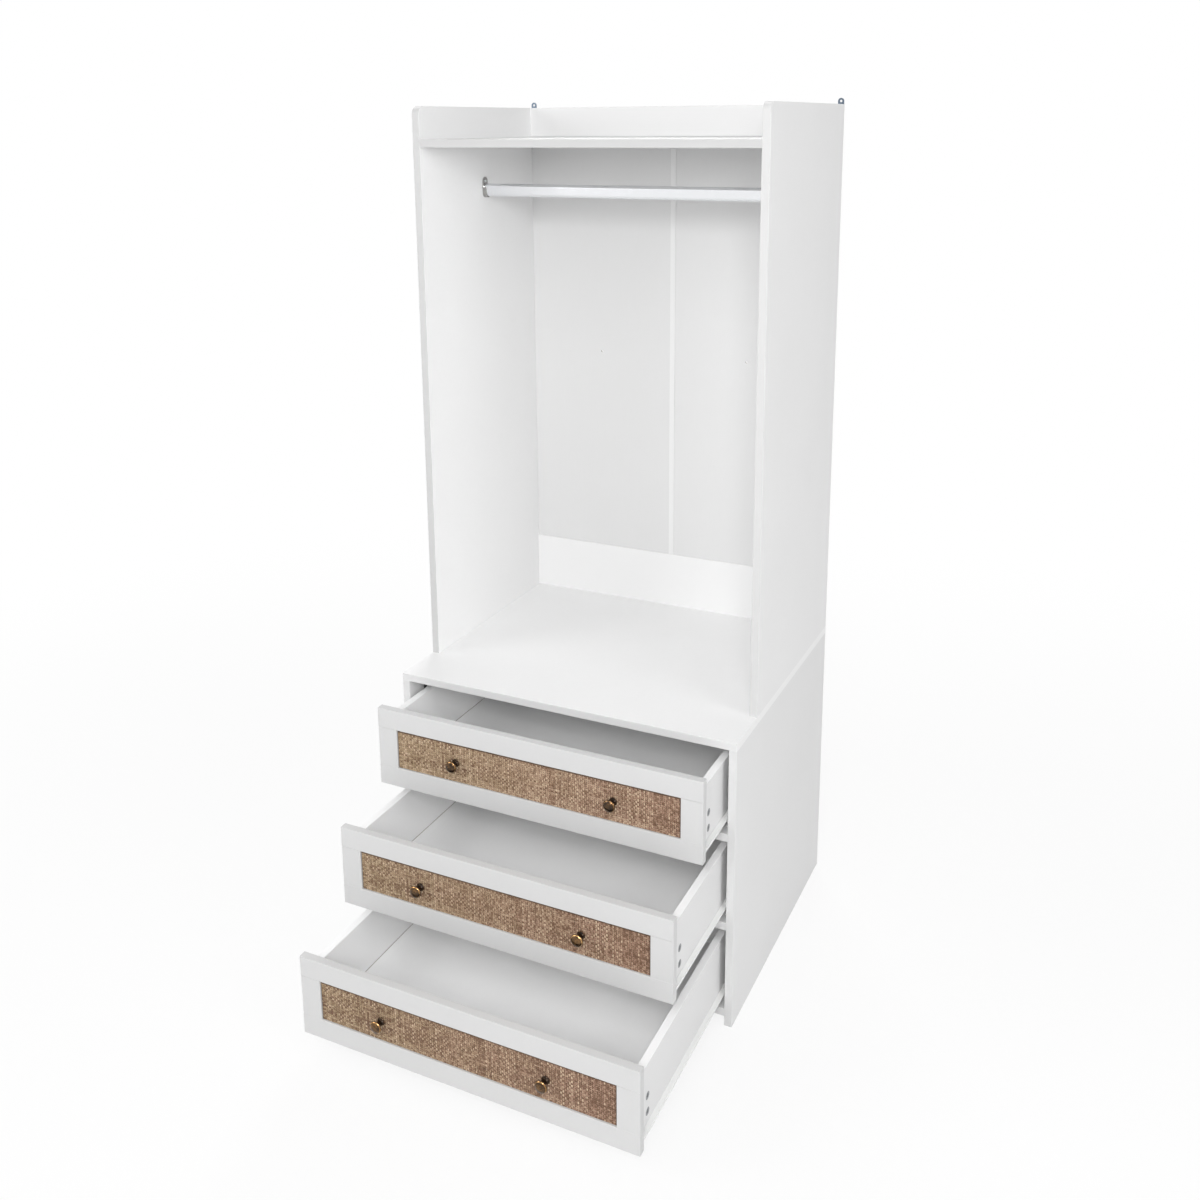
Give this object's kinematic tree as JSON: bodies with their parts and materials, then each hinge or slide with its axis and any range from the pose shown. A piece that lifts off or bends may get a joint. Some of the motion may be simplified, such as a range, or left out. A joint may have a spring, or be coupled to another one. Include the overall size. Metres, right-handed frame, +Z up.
{
  "type": "wardrobe with drawers",
  "caption": "Open wardrobe: chest of pull-out drawers with woven cane fronts under a hanging space with a rail, back panels and a top shelf.",
  "frame": {"origin": "middle of the whole part's footprint with its drawers open as in the picture, on the floor", "axes": "+X to the right of someone facing the drawers, +Y to the rear, +Z up"},
  "size_m": [0.75, 1.0504, 1.803],
  "materials": {
    "white_board": "matt white foil",
    "front_board": "matt white foil",
    "drawer_board": "matt white foil",
    "back_board": "matt white lacquer",
    "drawer_bottom_board": "matt white lacquer",
    "strip_plastic": "matt",
    "rail_aluminium": "satin",
    "flange_chrome": "polished",
    "bracket_steel": "zinc plated",
    "screw_steel": "zinc plated",
    "cam_zinc": "die-cast zinc",
    "slide_epoxy": "white epoxy",
    "roller_nylon": "nylon",
    "cane": "woven, natural",
    "knob_bronze": "antique bronze"
  },
  "bodies": {
    "carcass": {"chest_side_left": "white_board", "chest_side_right": "white_board", "chest_top": "white_board", "chest_back": "back_board", "rail_under_upper_drawer": "white_board", "rail_under_middle_drawer": "white_board", "rail_under_lower_drawer": "white_board", "chest_foot_rail": "white_board", "upper_side_left": "white_board", "upper_side_right": "white_board", "top_shelf": "white_board", "shelf_back_rail": "white_board", "low_back_rail": "white_board", "back_panel_left": "back_board", "back_panel_right": "back_board", "back_joint_strip": "strip_plastic", "hanging_rail": "rail_aluminium", "rail_flanges": "flange_chrome", "wall_brackets": "bracket_steel", "carcass_screws": "screw_steel", "carcass_cam_locks": "cam_zinc", "lower_slide_channels": "slide_epoxy", "middle_slide_channels": "slide_epoxy", "upper_slide_channels": "slide_epoxy"},
    "lower_drawer": {"lower_drawer_front_frame": "front_board", "lower_drawer_front_panel": "front_board", "lower_drawer_cane_sheet": "cane", "lower_drawer_knobs": "knob_bronze", "lower_drawer_side_left": "drawer_board", "lower_drawer_side_right": "drawer_board", "lower_drawer_back": "drawer_board", "lower_drawer_bottom": "drawer_bottom_board", "lower_drawer_runners": "slide_epoxy", "lower_drawer_cam_locks": "cam_zinc"},
    "lower_cabinet_roller_pair": {"lower_cabinet_rollers": "roller_nylon"},
    "lower_runner_roller_pair": {"lower_drawer_runner_rollers": "roller_nylon"},
    "middle_drawer": {"middle_drawer_front_frame": "front_board", "middle_drawer_front_panel": "front_board", "middle_drawer_cane_sheet": "cane", "middle_drawer_knobs": "knob_bronze", "middle_drawer_side_left": "drawer_board", "middle_drawer_side_right": "drawer_board", "middle_drawer_back": "drawer_board", "middle_drawer_bottom": "drawer_bottom_board", "middle_drawer_runners": "slide_epoxy", "middle_drawer_cam_locks": "cam_zinc"},
    "middle_cabinet_roller_pair": {"middle_cabinet_rollers": "roller_nylon"},
    "middle_runner_roller_pair": {"middle_drawer_runner_rollers": "roller_nylon"},
    "upper_drawer": {"upper_drawer_front_frame": "front_board", "upper_drawer_front_panel": "front_board", "upper_drawer_cane_sheet": "cane", "upper_drawer_knobs": "knob_bronze", "upper_drawer_side_left": "drawer_board", "upper_drawer_side_right": "drawer_board", "upper_drawer_back": "drawer_board", "upper_drawer_bottom": "drawer_bottom_board", "upper_drawer_runners": "slide_epoxy", "upper_drawer_cam_locks": "cam_zinc"},
    "upper_cabinet_roller_pair": {"upper_cabinet_rollers": "roller_nylon"},
    "upper_runner_roller_pair": {"upper_drawer_runner_rollers": "roller_nylon"}
  },
  "joints": [
    {"name": "lower_drawer_slide", "type": "slide", "parent": "carcass", "child": "lower_drawer", "axis": [0, -1, 0], "range_m": [-0.407, 0.008]},
    {"name": "lower_cabinet_roller_spin", "type": "hinge", "parent": "carcass", "child": "lower_cabinet_roller_pair", "pos_m": [0, -0.0662, 0.055], "axis": [1, 0, 0], "range_deg": [-2121.9, 43.7]},
    {"name": "lower_runner_roller_spin", "type": "hinge", "parent": "lower_drawer", "child": "lower_runner_roller_pair", "pos_m": [0, 0.0468, 0.055], "axis": [1, 0, 0], "range_deg": [-2121.9, 43.7]},
    {"name": "middle_drawer_slide", "type": "slide", "parent": "carcass", "child": "middle_drawer", "axis": [0, -1, 0], "range_m": [-0.262, 0.153]},
    {"name": "middle_cabinet_roller_spin", "type": "hinge", "parent": "carcass", "child": "middle_cabinet_roller_pair", "pos_m": [0, -0.0662, 0.248], "axis": [1, 0, 0], "range_deg": [-1366.7, 798.9]},
    {"name": "middle_runner_roller_spin", "type": "hinge", "parent": "middle_drawer", "child": "middle_runner_roller_pair", "pos_m": [0, 0.1918, 0.248], "axis": [1, 0, 0], "range_deg": [-1366.7, 798.9]},
    {"name": "upper_drawer_slide", "type": "slide", "parent": "carcass", "child": "upper_drawer", "axis": [0, -1, 0], "range_m": [-0.122, 0.293]},
    {"name": "upper_cabinet_roller_spin", "type": "hinge", "parent": "carcass", "child": "upper_cabinet_roller_pair", "pos_m": [0, -0.0662, 0.441], "axis": [1, 0, 0], "range_deg": [-637.5, 1528.2]},
    {"name": "upper_runner_roller_spin", "type": "hinge", "parent": "upper_drawer", "child": "upper_runner_roller_pair", "pos_m": [0, 0.3318, 0.441], "axis": [1, 0, 0], "range_deg": [-637.5, 1528.2]}
  ],
  "couplings": [
    {"joint": "lower_cabinet_roller_spin", "follows": "lower_drawer_slide", "rad_per_m": 90.909},
    {"joint": "lower_runner_roller_spin", "follows": "lower_drawer_slide", "rad_per_m": 90.909},
    {"joint": "middle_cabinet_roller_spin", "follows": "middle_drawer_slide", "rad_per_m": 90.909},
    {"joint": "middle_runner_roller_spin", "follows": "middle_drawer_slide", "rad_per_m": 90.909},
    {"joint": "upper_cabinet_roller_spin", "follows": "upper_drawer_slide", "rad_per_m": 90.909},
    {"joint": "upper_runner_roller_spin", "follows": "upper_drawer_slide", "rad_per_m": 90.909}
  ]
}
